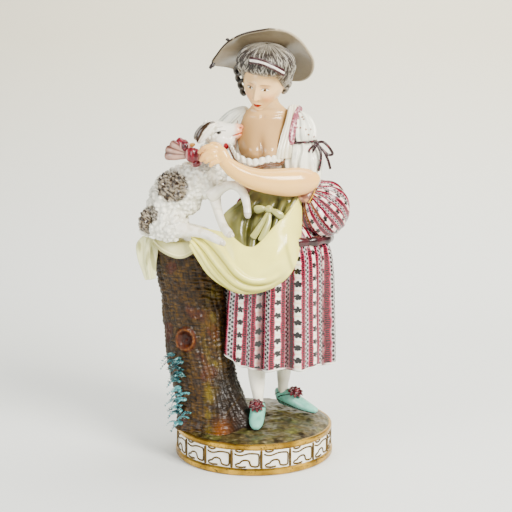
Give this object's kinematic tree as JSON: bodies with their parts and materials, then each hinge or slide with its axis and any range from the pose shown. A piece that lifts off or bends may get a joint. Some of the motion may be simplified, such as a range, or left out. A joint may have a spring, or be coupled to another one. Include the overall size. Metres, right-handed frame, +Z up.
{
  "type": "porcelain figurine",
  "caption": "Porcelain figure group on a round plinth: a shepherdess in a wide hat leans over a tree stump and ties a ribbon bow on a lamb that rests in their gathered apron.",
  "frame": {"origin": "centre of the unglazed foot ring, in the plane that the plinth stands on", "axes": "+Z up; -Y towards the front, the side the figure faces; +X towards the figure's left hand, which is the viewer's right"},
  "size_m": [0.126, 0.096, 0.254],
  "materials": {
    "plinth_glaze": "off-white glaze with worn gilt bands and a gilt key border",
    "ground_paint": "green-brown overglaze paint",
    "bark_paint": "brown overglaze paint with ochre moss touches",
    "fern_paint": "turquoise overglaze enamel",
    "white_glaze": "clear white glaze",
    "shoe_paint": "turquoise enamel edged in black",
    "dark_ribbon": "dark maroon enamel",
    "striped_skirt": "white ground with crimson stripes, dotted lattice and black flowers",
    "apron_glaze": "pale yellow enamel shaded olive in the folds",
    "bodice_paint": "mauve-brown enamel with a gilt edge",
    "flesh_glaze": "peach tinted glaze, fine brushed features",
    "hair_paint": "grey brushed strands over white glaze",
    "striped_ribbon": "pink and crimson stripes with dark edges",
    "hat_paint": "greige glaze with a thin dark rim line",
    "fleece_glaze": "white glaze over modelled fleece",
    "dark_fleece": "dashed brown-black brushwork over white glaze"
  },
  "bodies": {
    "root": {"plinth": "plinth_glaze", "ground_mound": "ground_paint", "tree_stump": "bark_paint", "leaf_spray": "fern_paint", "right_leg": "white_glaze", "left_leg": "white_glaze", "right_shoe": "shoe_paint", "left_shoe": "shoe_paint", "right_shoe_rosette": "dark_ribbon", "left_shoe_rosette": "dark_ribbon", "petticoat": "striped_skirt", "left_overskirt_puff": "striped_skirt", "back_overskirt_puff": "striped_skirt", "overskirt_band": "dark_ribbon", "apron_front": "apron_glaze", "apron_lap": "apron_glaze", "apron_corner": "apron_glaze", "apron_bow": "apron_glaze", "bodice": "bodice_paint", "bust": "flesh_glaze", "neckline_frill": "white_glaze", "left_shoulder_strap": "bodice_paint", "left_upper_sleeve": "white_glaze", "left_lower_sleeve": "white_glaze", "left_sleeve_ribbon": "dark_ribbon", "left_forearm": "flesh_glaze", "left_hand": "flesh_glaze", "right_sleeve": "white_glaze", "right_forearm": "flesh_glaze", "right_hand": "flesh_glaze", "head": "flesh_glaze", "hair": "hair_paint", "side_curls": "hair_paint", "hair_ribbon": "striped_ribbon", "hat": "hat_paint", "hat_ribbon": "dark_ribbon", "lamb_body": "fleece_glaze", "lamb_head": "fleece_glaze", "lamb_near_ear": "fleece_glaze", "lamb_far_ear": "fleece_glaze", "lamb_near_foreleg": "fleece_glaze", "lamb_far_foreleg": "fleece_glaze", "lamb_near_hindleg": "fleece_glaze", "lamb_far_hindleg": "fleece_glaze", "lamb_tail": "dark_fleece", "lamb_collar": "striped_ribbon", "lamb_bow": "striped_ribbon"}
  },
  "joints": []
}
